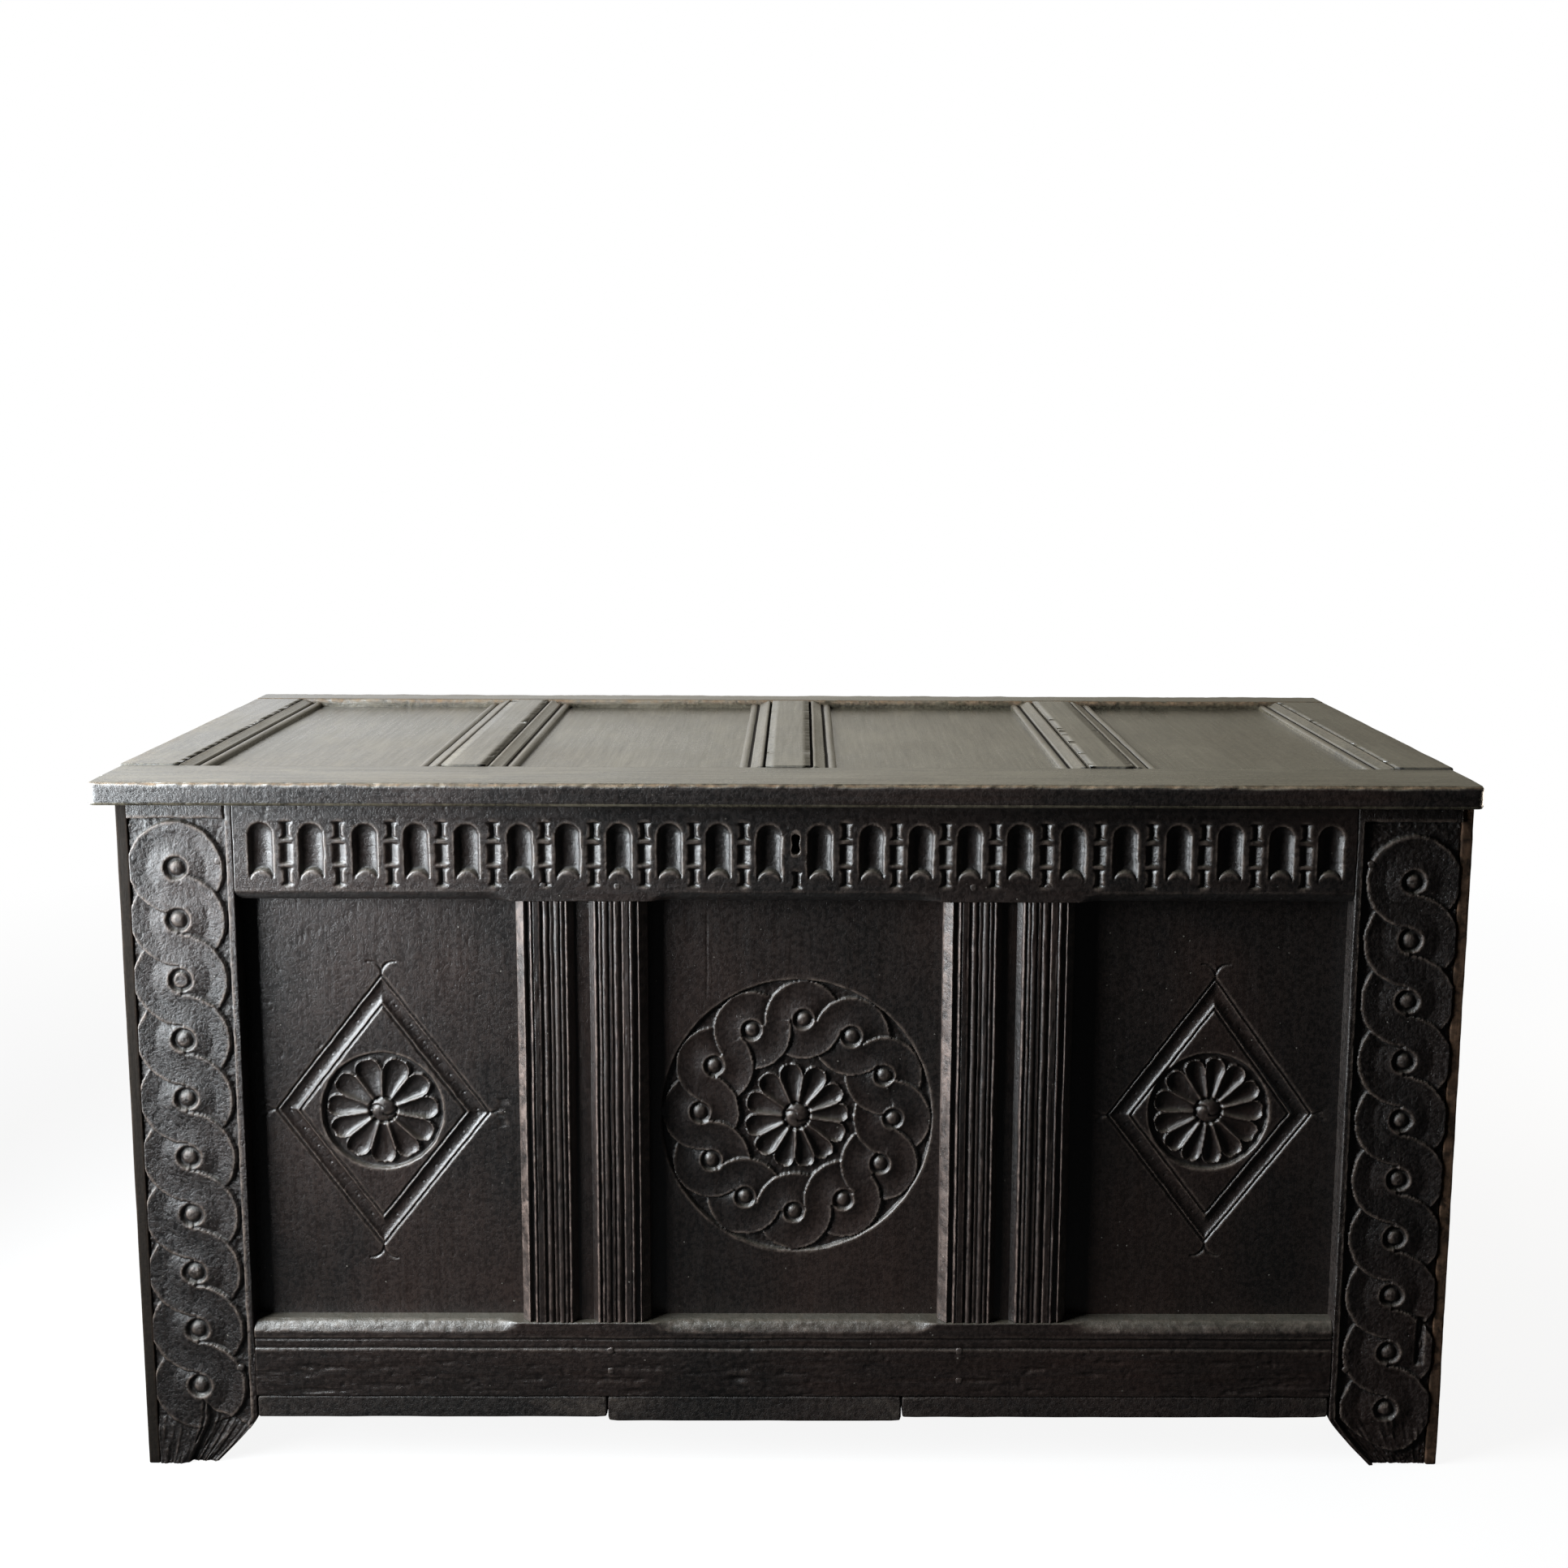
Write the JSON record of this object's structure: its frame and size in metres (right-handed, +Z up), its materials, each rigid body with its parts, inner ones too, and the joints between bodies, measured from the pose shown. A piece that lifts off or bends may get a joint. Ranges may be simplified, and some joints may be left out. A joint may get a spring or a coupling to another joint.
{
  "type": "coffer chest",
  "caption": "Joined oak coffer with carved framed front, fluted top rail, reeded muntins, feet and a hinged lid of sunk panels with a lock.",
  "frame": {"origin": "on the floor, under the middle of the whole coffer, lid and hinges included", "axes": "+X to the right of someone facing the carved front, +Y from the front to the back, +Z up"},
  "size_m": [1.284, 0.5724, 0.6859],
  "materials": {
    "oak_front": "waxed, nearly black",
    "oak_lid": "waxed and worn",
    "oak_carcase": "dull wax",
    "oak_base": "dry",
    "oak_pegs": "waxed",
    "iron": "wrought, dark"
  },
  "bodies": {
    "coffer": {"bottom_board_centre": "oak_base", "bottom_board_left": "oak_base", "bottom_board_right": "oak_base", "bottom_nails": "iron", "end_board_nails": "iron", "end_pegs": "oak_pegs", "front_bottom_rail": "oak_front", "front_centre_panel": "oak_front", "front_left_muntin": "oak_front", "front_left_panel": "oak_front", "front_left_stile": "oak_front", "front_pegs": "oak_pegs", "front_right_muntin": "oak_front", "front_right_panel": "oak_front", "front_right_stile": "oak_front", "front_top_rail": "oak_front", "hinge_leaf_left": "iron", "hinge_leaf_nails": "iron", "hinge_leaf_right": "iron", "hinge_pin_left": "iron", "hinge_pin_right": "iron", "left_end_board_front": "oak_carcase", "left_end_board_rear": "oak_carcase", "left_end_bottom_rail": "oak_carcase", "left_end_top_rail": "oak_carcase", "lock_case": "iron", "lock_nails": "iron", "rear_bottom_rail": "oak_carcase", "rear_centre_panel": "oak_carcase", "rear_left_muntin": "oak_carcase", "rear_left_panel": "oak_carcase", "rear_left_stile": "oak_carcase", "rear_pegs": "oak_pegs", "rear_right_muntin": "oak_carcase", "rear_right_panel": "oak_carcase", "rear_right_stile": "oak_carcase", "rear_top_rail": "oak_carcase", "right_end_board_front": "oak_carcase", "right_end_board_rear": "oak_carcase", "right_end_bottom_rail": "oak_carcase", "right_end_top_rail": "oak_carcase"},
    "lid": {"hinge_strap_left": "iron", "hinge_strap_nails": "iron", "hinge_strap_right": "iron", "lid_back_rail": "oak_lid", "lid_centre_muntin": "oak_lid", "lid_front_rail": "oak_lid", "lid_left_end": "oak_lid", "lid_left_muntin": "oak_lid", "lid_panel_1": "oak_lid", "lid_panel_2": "oak_lid", "lid_panel_3": "oak_lid", "lid_panel_4": "oak_lid", "lid_pegs": "oak_pegs", "lid_right_end": "oak_lid", "lid_right_muntin": "oak_lid", "lid_staple": "iron", "staple_nails": "iron"},
    "bolt": {"lock_bolt": "iron"}
  },
  "joints": [
    {"name": "lid_hinge", "type": "hinge", "parent": "coffer", "child": "lid", "pos_m": [0, 0.2802, 0.6563], "axis": [-1, 0, 0], "range_deg": [0, 100]},
    {"name": "lock_bolt_slide", "type": "slide", "parent": "coffer", "child": "bolt", "axis": [1, 0, 0], "range_m": [0, 0.012]}
  ]
}
